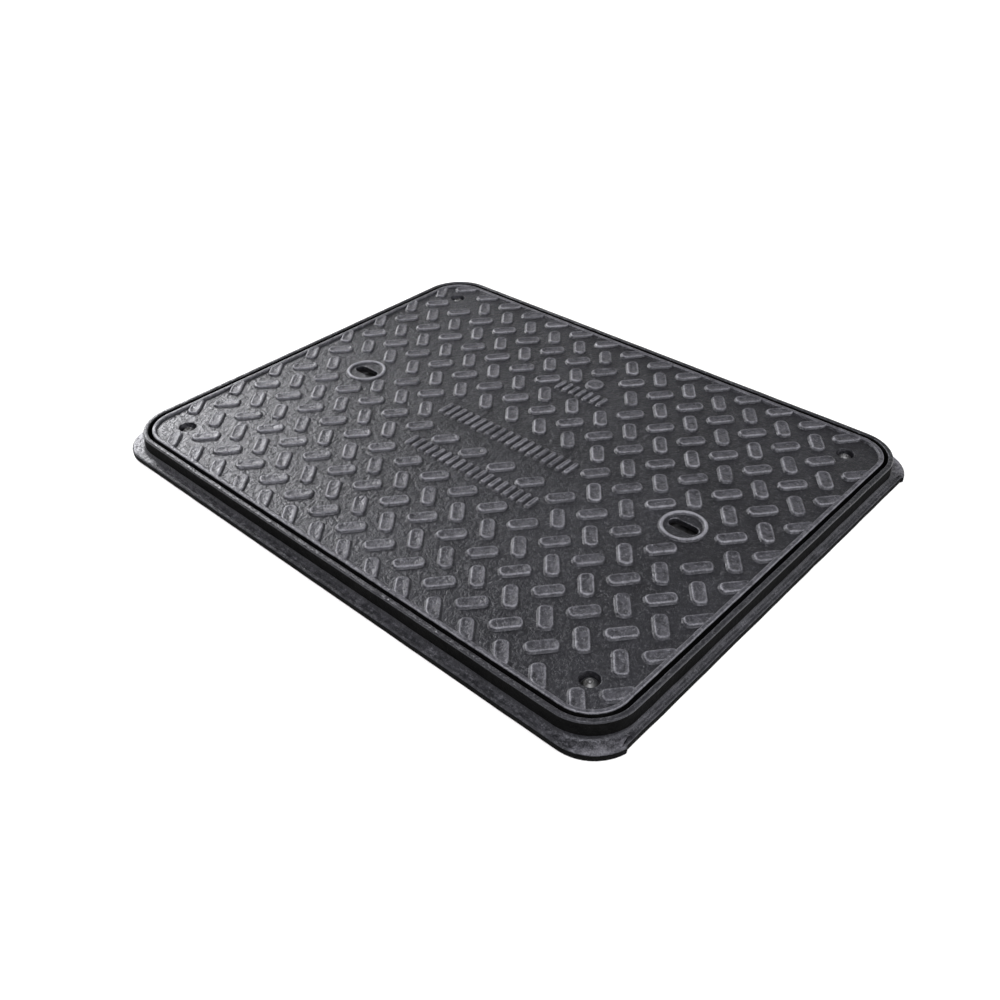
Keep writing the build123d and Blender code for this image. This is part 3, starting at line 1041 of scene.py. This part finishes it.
    def lock_place(self, mould: Mould, centre: Point2) -> tuple[list[int], list[int]]:
        """Adds one locking screw's recess, its shank hole and the boss round that.

        Args:
            mould: The piece being made.
            centre: The screw's axis.

        Returns:
            The recess's ring in the top sheet and the boss's ring in the underside.
        """
        recess, boss, shank = self.recess_radius, self.boss_radius, self.shank_hole
        top, bottom = self.sheet_top, self.sheet_bottom
        floor = top - self.recess_depth
        boss_bottom = COVER_LOW.z + self.boss_gap
        rings = mould.turned(centre, [
            (recess + mm(1.0), top), (recess + mm(0.35), top - mm(0.2)), (recess, top - mm(0.9)),
            (recess, floor + mm(0.6)), (recess - mm(0.5), floor), (shank + mm(0.5), floor),
            (shank, floor - mm(0.5)), (shank, boss_bottom + mm(0.5)), (shank + mm(0.5), boss_bottom),
            (boss - mm(1.0), boss_bottom), (boss - mm(0.2), boss_bottom + mm(0.6)),
            (boss + mm(0.1), bottom - mm(1.4)), (boss + mm(0.9), bottom - mm(0.4)),
            (boss + mm(2.2), bottom)], self.recess_sides)
        mould.loft(rings)
        return rings[0], rings[-1]

    def raised(self, mould: Mould, shape: Rounded, centre: Point2, turn: float, dish: float = 0.0) -> None:
        """Adds one raised island: soft foot, steep side, rubbed edge and a top that may be dished.

        Args:
            mould: The piece being made.
            shape: Its outline about its own middle.
            centre: Where its middle stands.
            turn: How far it is turned.
            dish: How far the middle of its top lies below its rim.
        """
        tread = self.site.outline(-self.border_width / 2)
        rubbing = 0.75 + 0.25 * noise.noise(Vector((*centre, 0.0)) * 27.0)
        rings = []
        for inset, height, wear, lift in self.pad_profile:
            walk = placed(shape.grown(mm(-inset)).points(), centre, turn)
            kept = [held_inside(point, tread.grown(-mm(max(inset, 0.0)))) for point in walk]
            rings.append(mould.ring(kept, self.sheet_top + mm(height), wear * rubbing, lift))
        if dish:
            walk = placed(shape.grown(-self.dish_inset).points(), centre, turn)
            kept = [held_inside(point, tread.grown(-self.dish_inset)) for point in walk]
            rings.append(mould.ring(kept, self.sheet_top + self.tread_height - dish, 0.1, 0.75))
        mould.loft(rings)
        mould.cap(rings[-1], self.sheet_top + self.tread_height - dish, 0.2 * rubbing, 1.0)
        mould.cap(rings[0], self.sheet_top - mm(0.7))

    def pad(self, mould: Mould, centre: Point2, turn: float, discs: Sequence[Disc]) -> None:
        """Adds one pad, shortened square where a disc stands in its way.

        Args:
            mould: The piece being made.
            centre: Where its middle would stand.
            turn: How far it is turned.
            discs: The round places near it.
        """
        ends = [-self.pad_length / 2, self.pad_length / 2]
        along = (math.cos(turn), math.sin(turn))
        for disc in discs:
            x, y = disc.centre[0] - centre[0], disc.centre[1] - centre[1]
            ahead = x * along[0] + y * along[1]
            beside = max(0.0, abs(y * along[0] - x * along[1]) - self.pad_width / 2 + self.grazing)
            if beside < disc.radius:
                reach = math.sqrt(disc.radius ** 2 - beside ** 2)
                if ahead > 0:
                    ends[1] = min(ends[1], ahead - reach)
                else:
                    ends[0] = max(ends[0], ahead + reach)
        length = ends[1] - ends[0]
        if length < self.shortest_pad:
            return
        middle = (ends[0] + ends[1]) / 2
        shape = Rounded(length / 2, self.pad_width / 2, self.pad_radius, SMALL_CORNER, 2, 1)
        place = (centre[0] + along[0] * middle, centre[1] + along[1] * middle)
        self.raised(mould, shape, place, turn, self.pad_dish)

    def hollow_ring(self, mould: Mould, centre: Point2) -> None:
        """Adds the raised ring round a keyway."""
        run = [(mm(inset), mm(height), wear, lift) for inset, height, wear, lift in self.pad_profile[1:-1]]
        outer, inner = self.ring_radius, self.ring_radius - self.ring_width
        loop = [*((outer - inset, *rest) for inset, *rest in run),
                *((inner + inset, *rest) for inset, *rest in reversed(run))]
        rings = [mould.ring(circle(centre, radius, self.ring_sides), self.sheet_top + height, wear, lift)
                 for radius, height, wear, lift in loop]
        buried = [(loop[-1][0], self.sheet_top - self.burial), (loop[0][0], self.sheet_top - self.burial)]
        mould.loft([*rings, *mould.turned(centre, buried, self.ring_sides), rings[0]])

    def open_ground(self, centre: Point2) -> bool:
        """True where the tread has room for a pad's middle: inside the lip and clear of the blank panels."""
        if held_inside(centre, self.site.outline(-self.border_width)) != centre:
            return False
        for panel_x, panel_y, length, width in self.panels:
            beside = abs(centre[0] - mm(panel_x)) - mm(length) / 2 > self.panel_margin
            beyond = abs(centre[1] - mm(panel_y)) - mm(width) / 2 > self.panel_margin
            if not (beside or beyond):
                return False
        return math.dist(centre, self.disc_centre) > self.disc_radius + self.panel_margin

    def tread(self, mould: Mould) -> None:
        """Adds the slanted pads, whose slant alternates from row to row."""
        around_ring, around_lock = self.ring_radius + self.pad_margin, self.recess_radius + self.pad_margin
        discs = [Disc(self.site.keyway_place(side), around_ring) for side in SIDES]
        discs += [Disc(self.site.lock_place(corner), around_lock) for corner in CORNERS]
        rows = math.ceil(self.site.half_y / self.row_pitch)
        columns = math.ceil(self.site.half_x / self.pad_pitch)
        for row in range(-rows, rows):
            side = 1 if row % 2 else -1
            for column in range(-columns, columns + 1):
                centre = (column * self.pad_pitch + side * self.row_stagger, (row + 0.5) * self.row_pitch)
                if self.open_ground(centre):
                    near = [disc for disc in discs
                            if math.dist(centre, disc.centre) < disc.radius + self.pad_length / 2]
                    self.pad(mould, centre, -side * self.pad_slant, near)

    def blank_panels(self, mould: Mould) -> None:
        """Adds the bars of the blank panels, and the blank disc."""
        for panel_x, panel_y, length, width in self.panels:
            count = int(mm(length) // self.bar_pitch)
            half = self.bar_width / 2
            shape = Rounded(half, mm(width) / 2, half - mm(0.1), SMALL_CORNER, 1, 2)
            for index in range(count):
                x = mm(panel_x) + (index - (count - 1) / 2) * self.bar_pitch
                self.raised(mould, shape, (x, mm(panel_y)), 0.0)
        radius = self.disc_radius
        shape = Rounded(radius, radius, radius - mm(0.1), tuple(i / 6 for i in range(7)), 1, 1)
        self.raised(mould, shape, self.disc_centre, 0.0)

    def rib(self, mould: Mould, across: bool, at: float, span: float, clear: float) -> None:
        """Adds one rib below the plate.

        Args:
            mould: The piece being made.
            across: True for a rib along Y, False for one along X.
            at: Its place along the other axis.
            span: Half the cover's size along the rib.
            clear: Half the clear opening's size along the rib.
        """
        shallow = COVER_LOW.z + self.boss_gap
        deep = self.sheet_bottom - self.rib_depth
        reach = clear - self.rib_end_clearance
        slope = reach - (shallow - deep) * self.rib_slope
        end = span - self.skirt_width / 2
        stations = [(end, shallow), (reach, shallow), (slope, deep), (slope / 2, deep), (0.0, deep)]
        stations = [*stations, *((-place, low) for place, low in reversed(stations[:-1]))]
        rings = []
        for place, low in stations:
            levels = [(mm(out), self.sheet_bottom + mm(rise)) for out, rise in self.rib_root]
            levels += [(mm(out), low + mm(rise)) for out, rise in self.rib_foot]
            section = [*((-out, height) for out, height in levels), *reversed(levels[:-1])]
            rings.append(mould.scatter([
                Vector((at + out, place, height)) if across else Vector((place, at + out, height))
                for out, height in section]))
        mould.loft(rings)
        for ring in (rings[0], rings[-1]):
            mould.face(tuple(ring), flat=True)

    def ribs(self, mould: Mould, clear_x: float, clear_y: float) -> None:
        """Adds the cross ribs, one outside each keyway too, and the two long ribs."""
        keyway_x = self.site.keyway_place("right")[0]
        inner = keyway_x - self.beside_keyway
        step = 2 * inner / (self.inner_rib_count - 1)
        outer = keyway_x + self.beside_keyway
        for x in (-outer, *(-inner + step * index for index in range(self.inner_rib_count)), outer):
            self.rib(mould, True, x, self.site.half_y, clear_y)
        for y in (-self.rib_offset, self.rib_offset):
            self.rib(mould, False, y, self.site.half_x, clear_x)

    def build(self, seat: FrameCasting) -> bpy.types.Object:
        """Builds the whole cover, to fit a frame."""
        mould = Mould("cover_with_tread", unevenness=mm(0.22), grain=mm(16.0))
        top, underside = self.shell(mould)
        keyways = [self.keyway(mould, self.site.keyway_place(side)) for side in SIDES]
        locks = [self.lock_place(mould, self.site.lock_place(corner)) for corner in CORNERS]
        mould.plate(top, [mouth for mouth, _ in (*keyways, *locks)])
        mould.plate(underside, [foot for _, foot in (*keyways, *locks)])
        self.tread(mould)
        self.blank_panels(mould)
        for side in SIDES:
            self.hollow_ring(mould, self.site.keyway_place(side))
        self.ribs(mould, self.site.half_x - seat.bearing_ends, self.site.half_y - seat.bearing_sides)
        return mould.made("cover", "bitumen_iron_cover", ["cover_casting"], [self.coat, self.sheltered])


# --------------------------------------------------------------------------------------------------
# Keyway cups and their screws
# --------------------------------------------------------------------------------------------------


@dataclass
class KeywayCup:
    """A drawn steel cup under a keyway, hung by two ears, with a pan-head screw through each."""

    site: Site
    side: str
    steel: bpy.types.Material
    radius: float = mm(22.0)
    wall: float = mm(2.0)
    floor: float = mm(1.5)
    ear_thickness: float = mm(1.5)
    ear_width: float = mm(13.0)
    hole_radius: float = mm(2.25)
    screw_offset: float = mm(28.0)

    def bowl(self, mould: Mould, centre: Point2) -> None:
        """Adds the drawn bowl, with a rolled rim."""
        low, high = levels_of(f"keyway_cup_{self.side}")
        outer, inner = self.radius, self.radius - self.wall
        inside = low + self.floor
        rings = mould.turned(centre, [
            (outer - mm(4.0), low), (outer - mm(1.9), low + mm(0.3)), (outer - mm(0.6), low + mm(1.3)),
            (outer, low + mm(3.0)), (outer, high - mm(0.5)), (outer - mm(0.3), high - mm(0.1)),
            (outer - mm(0.8), high), (inner + mm(0.6), high), (inner + mm(0.1), high - mm(0.3)),
            (inner, high - mm(0.9)), (inner, inside + mm(2.0)), (inner - mm(0.6), inside + mm(0.7)),
            (inner - mm(2.0), inside), (inner - mm(9.0), inside), (inner - mm(10.0), inside - mm(0.4)),
            (inner - mm(14.0), inside - mm(0.5))], 56, wear=0.25)
        mould.loft(rings)
        mould.cap(rings[-1], inside - mm(0.5))
        mould.cap(rings[0], low)

    def ear(self, mould: Mould, centre: Point2, side: int) -> None:
        """Adds one ear with its screw hole.

        Args:
            mould: The piece being made.
            centre: The cup's middle.
            side: 1 for the ear towards +Y and -1 for the other.
        """
        high = levels_of(f"keyway_cup_{self.side}")[1]
        half = self.ear_width / 2
        root = math.sqrt((self.radius - self.wall / 2) ** 2 - half ** 2) + mm(0.4)
        turns = [math.pi * step / 12 for step in range(13)]
        tip = [(half * math.cos(turn), self.screw_offset + half * math.sin(turn)) for turn in turns]
        tab = [(-half, root), (half, root), *tip]
        turn = 0.0 if side > 0 else math.pi
        thick, soften = self.ear_thickness, mm(0.3)
        profile = [(0.3, -thick), (0.0, soften - thick), (0.0, -soften), (0.3, 0.0)]
        rims, bores = [], []
        for inset, depth in profile:
            rims.append(mould.ring(placed(inward(tab, mm(inset)), centre, turn), high + depth, wear=0.5))
            hole = circle((0.0, self.screw_offset), self.hole_radius + mm(inset) / 2, 20)
            bores.append(mould.ring(placed(hole, centre, turn), high + depth, wear=0.5))
        mould.loft(rims)
        mould.loft(bores)
        mould.plate(rims[0], [bores[0]])
        mould.plate(rims[-1], [bores[-1]])

    def build(self) -> bpy.types.Object:
        """Builds the cup."""
        centre = self.site.keyway_place(self.side)
        mould = Mould(f"drawn_cup_{self.side}")
        self.bowl(mould, centre)
        for side in (-1, 1):
            self.ear(mould, centre, side)
        return mould.made("cover", "cup_steel", [f"keyway_cup_{self.side}"], [self.steel])


@dataclass
class CupScrews:
    """The four pan-head screws that hold the two cups up against the plate."""

    site: Site
    cup: KeywayCup
    steel: bpy.types.Material
    shank_radius: float = mm(2.0)
    head_radius: float = mm(3.8)
    head_height: float = mm(2.6)
    recess_reach: float = mm(1.9)
    recess_arm: float = mm(0.9)
    recess_depth: float = mm(1.5)

    def screw(self, mould: Mould, centre: Point2, low: float, high: float) -> None:
        """Adds one screw, head down."""
        seat = low + self.head_height
        head, shank = self.head_radius, self.shank_radius
        rings = mould.turned(centre, [
            (head - mm(1.3), low), (head - mm(0.8), low + mm(0.12)), (head - mm(0.3), low + mm(0.6)),
            (head - mm(0.05), low + mm(1.3)), (head, seat - mm(0.3)), (head - mm(0.15), seat), (shank, seat),
            (shank, high - mm(0.4)), (shank - mm(0.4), high)], 24, wear=0.5)
        mould.loft(rings)
        mould.cap(rings[-1], high)
        mouth = mould.ring(crossed(centre, self.recess_reach, self.recess_arm), low, wear=0.6)
        narrowed = crossed(centre, self.recess_reach - mm(0.5), self.recess_arm - mm(0.25))
        root = mould.ring(narrowed, low + self.recess_depth)
        mould.plate(rings[0], [mouth])
        mould.loft([mouth, root])
        mould.plate(root)

    def build(self) -> bpy.types.Object:
        """Builds the four screws as one piece."""
        low, high = levels_of("keyway_cup_screws")
        mould = Mould("cup_screw_set")
        for side in SIDES:
            x, y = self.site.keyway_place(side)
            for way in (-1, 1):
                self.screw(mould, (x, y + way * self.cup.screw_offset), low, high)
        return mould.made("cover", "screw_steel", ["keyway_cup_screws"], [self.steel])


# --------------------------------------------------------------------------------------------------
# Locks
# --------------------------------------------------------------------------------------------------


@dataclass
class Lock:
    """One corner's locking screw, the sealing washer under its head and the captive nut in the frame."""

    site: Site
    corner: str
    stainless: bpy.types.Material
    zinc: bpy.types.Material
    shank_radius: float = mm(4.0)
    head_radius: float = mm(7.0)
    head_height: float = mm(4.4)
    socket_width: float = mm(5.0)
    socket_depth: float = mm(2.8)
    thread_pitch: float = mm(1.25)
    thread_depth: float = mm(0.62)
    thread_length: float = mm(11.0)
    washer_hole: float = mm(4.2)
    washer_radius: float = mm(8.0)
    nut_width: float = mm(13.0)
    nut_bore: float = mm(4.05)
    steps_per_turn: int = 8
    count: int = 36

    @property
    def place(self) -> Point2:
        """The screw's axis."""
        return self.site.lock_place(self.corner)

    def thread(self, mould: Mould, low: float, high: float) -> list[list[int]]:
        """Adds a thread's rings, whose radius winds round the shank.

        Args:
            mould: The piece being made.
            low: Where the thread starts.
            high: Where it runs out.

        Returns:
            The rings, from the lowest up.
        """
        steps = round((high - low) / self.thread_pitch * self.steps_per_turn)
        rings = []
        for step in range(steps + 1):
            height = low + (high - low) * step / steps
            fade = min(1.0, (high - height) / self.thread_pitch, (height - low) / self.thread_pitch + 0.35)
            walk = []
            for i in range(self.count):
                phase = (height / self.thread_pitch - i / self.count) % 1.0
                crest = max(0.0, min(1.0, 1.35 - 2.6 * abs(phase - 0.5)))
                radius = self.shank_radius - self.thread_depth * (1.0 - crest) * fade
                turn = math.tau * i / self.count
                walk.append((radius * math.cos(turn), radius * math.sin(turn)))
            rings.append(mould.ring(placed(walk, self.place), height, wear=0.3))
        return rings

    def screw(self) -> bpy.types.Object:
        """Builds the button-head socket screw."""
        low, high = levels_of(f"lock_screw_{self.corner}")
        mould = Mould(f"socket_screw_{self.corner}")
        head, shank = self.head_radius, self.shank_radius
        seat = high - self.head_height
        tip = mould.turned(self.place, [(shank - mm(1.1), low), (shank - mm(0.75), low + mm(0.5))], self.count)
        thread = self.thread(mould, low + mm(0.7), low + self.thread_length)
        dome = [(head * math.cos(turn), seat + mm(0.5) + (self.head_height - mm(0.5)) * math.sin(turn))
                for turn in (math.radians(12.0 * step) for step in range(6))]
        body = mould.turned(self.place, [(shank, seat), (head - mm(0.3), seat), (head, seat + mm(0.2)), *dome,
                                         (self.socket_width * 0.64, high)], self.count, wear=0.6)
        mould.loft([*tip, *thread, *body])
        mould.cap(tip[0], low)
        mouth = mould.ring(hexagon(self.place, self.socket_width + mm(0.3), self.count), high, wear=0.6)
        wall = mould.ring(hexagon(self.place, self.socket_width, self.count), high - mm(0.2), wear=0.4)
        root = mould.ring(hexagon(self.place, self.socket_width, self.count), high - self.socket_depth)
        mould.loft([body[-1], mouth, wall, root])
        mould.cap(root, high - self.socket_depth - mm(0.5))
        replaced = [f"lock_screw_{self.corner}"]
        return mould.made(f"screw_{self.corner}", "screw_steel", replaced, [self.stainless])

    def washer(self) -> bpy.types.Object:
        """Builds the bevelled washer."""
        low, high = levels_of(f"lock_washer_{self.corner}")
        mould = Mould(f"bevelled_washer_{self.corner}")
        hole, rim = self.washer_hole, self.washer_radius
        rings = mould.turned(self.place, [
            (hole + mm(0.2), low), (rim - mm(0.2), low), (rim, low + mm(0.3)), (rim, high - mm(0.45)),
            (rim - mm(0.15), high - mm(0.15)), (rim - mm(0.5), high), (hole + mm(0.3), high),
            (hole, high - mm(0.3)), (hole, low + mm(0.2))], self.count, wear=0.4)
        mould.loft([*rings, rings[0]])
        replaced = [f"lock_washer_{self.corner}"]
        return mould.made(f"washer_{self.corner}", "screw_steel", replaced, [self.stainless])

    def nut(self) -> bpy.types.Object:
        """Builds the chamfered hexagon nut."""
        low, high = levels_of(f"lock_nut_{self.corner}")
        mould = Mould(f"captive_nut_{self.corner}")
        bore, flats = self.nut_bore, self.nut_width
        face = flats / 2 - mm(0.25)
        lower = mould.ring(circle(self.place, face, self.count), low, wear=0.5)
        sides = [mould.scatter([self.chamfered(i, inwards, height) for i in range(self.count)], wear=0.6)
                 for height, inwards in ((low, 1), (high, -1))]
        upper = mould.ring(circle(self.place, face, self.count), high, wear=0.5)
        throat = mould.turned(self.place, [
            (bore + mm(0.5), high), (bore, high - mm(0.5)), (bore, low + mm(0.5)), (bore + mm(0.5), low)],
            self.count, wear=0.2)
        mould.loft([lower, *sides, upper, *throat, lower])
        return mould.made("frame", "zinc_steel", [f"lock_nut_{self.corner}"], [self.zinc])

    def chamfered(self, index: int, inwards: int, height: float) -> Vector:
        """A point on a hexagon's edge, set back along the axis where the chamfer cuts its corner."""
        x, y = hexagon(self.place, self.nut_width, self.count)[index]
        past_flat = math.dist((x, y), self.place) - self.nut_width / 2
        return Vector((x, y, height + inwards * (mm(0.15) + past_flat * 0.6)))

    def build(self) -> list[bpy.types.Object]:
        """Builds the three pieces."""
        return [self.screw(), self.washer(), self.nut()]


# --------------------------------------------------------------------------------------------------
# Studio
# --------------------------------------------------------------------------------------------------


@dataclass(frozen=True)
class SoftLight:
    """A square soft light that faces the object."""

    name: str
    place: tuple[float, float, float]
    size: float
    power: float
    tint: Colour = (1.0, 1.0, 1.0)

    def build(self) -> None:
        """Hangs the light."""
        data = bpy.data.lights.new(self.name, "AREA")
        data.shape = "SQUARE"
        data.size = self.size
        data.energy = self.power
        data.color = self.tint
        lamp = bpy.data.objects.new(self.name, data)
        lamp.location = self.place
        lamp.rotation_euler = Vector(self.place).to_track_quat("Z", "Y").to_euler()
        bpy.context.scene.collection.objects.link(lamp)


@dataclass
class Studio:
    """A plain pale floor, soft lights and the camera."""

    eye: tuple[float, float, float] = (0.6196, -0.6694, 0.6247)
    pitch: float = math.radians(36.76)
    yaw: float = math.radians(-43.35)
    roll: float = math.radians(-1.24)
    lens: float = 36.72
    floor_radius: float = 12.0
    floor_sweep: float = 3.0
    floor_sides: int = 96
    sky: float = 0.3
    lights: list[SoftLight] = field(default_factory=lambda: [
        SoftLight("window_light", (-3.0, 0.6, 1.42), 1.0, 88.0),
        SoftLight("side_light", (2.2, 0.5, 0.8), 0.8, 22.0)])
    overhead_lean: tuple[float, float, float] = (math.radians(24.0), math.radians(18.0), 0.0)
    overhead_spread: float = math.radians(45.0)
    overhead_strength: float = 3.0

    def camera(self) -> None:
        """Stands the camera at the viewing angle."""
        data = bpy.data.cameras.new("studio_camera")
        data.lens = self.lens
        data.clip_start = 0.01
        ahead = Vector((math.sin(self.yaw) * math.cos(self.pitch), math.cos(self.yaw) * math.cos(self.pitch),
                        -math.sin(self.pitch)))
        level = Vector((math.cos(self.yaw), -math.sin(self.yaw), 0.0))
        up = level.cross(ahead)
        right = level * math.cos(self.roll) + up * math.sin(self.roll)
        upright = up * math.cos(self.roll) - level * math.sin(self.roll)
        camera = bpy.data.objects.new("studio_camera", data)
        facing = Matrix((right, upright, -ahead)).transposed().to_4x4()
        camera.matrix_world = Matrix.Translation(self.eye) @ facing
        bpy.context.scene.collection.objects.link(camera)
        bpy.context.scene.camera = camera

    def floor(self) -> None:
        """Lays the floor, a wide disc that sweeps up round its far edge."""
        graph = Graph("pale_floor")
        cloud = graph.cloudy(0.7, 2.0)
        white = graph.blend(cloud, (0.93, 0.93, 0.93), (0.96, 0.96, 0.96))
        paint = graph.dress(Base_Color=white, Roughness=0.9)
        points = [(0.0, 0.0, 0.0)]
        faces = [(0, side + 1, (side + 1) % self.floor_sides + 1) for side in range(self.floor_sides)]
        for turn in range(0, 91, 10):
            reach = self.floor_radius + self.floor_sweep * math.sin(math.radians(turn))
            height = self.floor_sweep * (1 - math.cos(math.radians(turn)))
            first = len(points)
            points += [(x, y, height) for x, y in circle((0.0, 0.0), reach, self.floor_sides)]
            if turn:
                for side in range(self.floor_sides):
                    after = (side + 1) % self.floor_sides
                    below = first - self.floor_sides
                    faces.append((below + side, below + after, first + after, first + side))
        mesh = bpy.data.meshes.new("studio_floor")
        mesh.from_pydata(points, [], faces)
        mesh.shade_smooth()
        mesh.materials.append(paint)
        plane = bpy.data.objects.new("studio_floor", mesh)
        plane.location.z = CAD_LOW.z - mm(0.2)
        bpy.context.scene.collection.objects.link(plane)

    def world(self) -> None:
        """Sets an even pale surround."""
        world = bpy.data.worlds.new("studio_world")
        world.use_nodes = True
        background = world.node_tree.nodes["Background"]
        background.inputs["Color"].default_value = (1.0, 1.0, 1.0, 1.0)
        background.inputs["Strength"].default_value = self.sky
        bpy.context.scene.world = world
        bpy.context.scene.view_settings.view_transform = "Standard"

    def overhead(self) -> None:
        """Hangs a wide even softbox high above, leaning a little towards the camera's side."""
        data = bpy.data.lights.new("overhead_softbox", "SUN")
        data.angle = self.overhead_spread
        data.energy = self.overhead_strength
        lamp = bpy.data.objects.new("overhead_softbox", data)
        lamp.rotation_euler = self.overhead_lean
        bpy.context.scene.collection.objects.link(lamp)

    def build(self) -> None:
        """Sets up the whole studio."""
        self.camera()
        self.floor()
        self.world()
        self.overhead()
        for light in self.lights:
            light.build()


def main() -> None:
    """Builds the object and its studio."""
    logging.basicConfig(level=logging.INFO, format="%(message)s")
    site = Site()
    weathered = BitumenIron("weathered_bitumen_iron", Exposure.TRODDEN).material()
    # A darker, duller copy of the coat: painted shade for the frame's walls and seat and for the cover's sides.
    darkest = BitumenIron(
        "painted_shade_bitumen_iron", Exposure.SHADE_COPY, darkest=(0.002, 0.002, 0.002), dull=(0.006, 0.006, 0.006),
        top_light_tone=(0.012, 0.012, 0.012), bare=(0.03, 0.03, 0.032), specular=0.02, sheen_roughness=0.55).material()
    rubber = GasketRubber("moulded_rubber").material()
    dipped = PlainSteel("dipped_steel", (0.10, 0.10, 0.105), (0.04, 0.036, 0.034), 0.8, 0.42).material()
    stainless = PlainSteel("stainless_steel", (0.16, 0.16, 0.165), (0.05, 0.048, 0.046), 1.0, 0.42).material()
    zinc = PlainSteel("zinc_plated_steel", (0.40, 0.41, 0.43), (0.20, 0.20, 0.19), 1.0, 0.4).material()
    seat = FrameCasting(site, weathered, darkest)
    seat.build()
    SeatGasket(site, rubber).build()
    CoverCasting(site, weathered, darkest).build(seat)
    cups = [KeywayCup(site, side, dipped) for side in SIDES]
    for cup in cups:
        cup.build()
    CupScrews(site, cups[0], zinc).build()
    for corner in CORNERS:
        Lock(site, corner, stainless, zinc).build()
    Studio().build()


if __name__ == "__main__":
    main()
